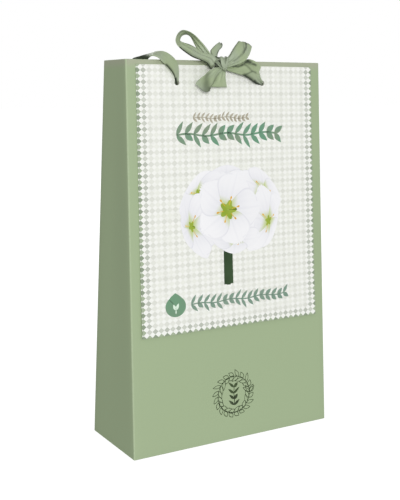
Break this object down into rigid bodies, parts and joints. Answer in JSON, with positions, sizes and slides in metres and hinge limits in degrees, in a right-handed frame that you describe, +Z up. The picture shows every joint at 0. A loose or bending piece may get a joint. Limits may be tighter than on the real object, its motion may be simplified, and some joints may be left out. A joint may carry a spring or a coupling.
{
  "type": "gift bag",
  "caption": "Open-topped folded card gift bag that tapers towards its mouth, with a printed card on the front and a satin ribbon laced through punched holes and tied in a bow.",
  "frame": {"origin": "centre of the underside of the base", "axes": "+Z up towards the mouth, -Y out of the front panel that carries the printed card, X along the width"},
  "size_m": [0.22, 0.09, 0.3915],
  "materials": {
    "green_card": "matte",
    "grey_board": "matte",
    "printed_card": "satin",
    "satin_ribbon": "satin"
  },
  "bodies": {
    "root": {"bag": "green_card", "base_board": "grey_board", "face_card": "printed_card", "ribbon": "satin_ribbon"}
  },
  "joints": []
}
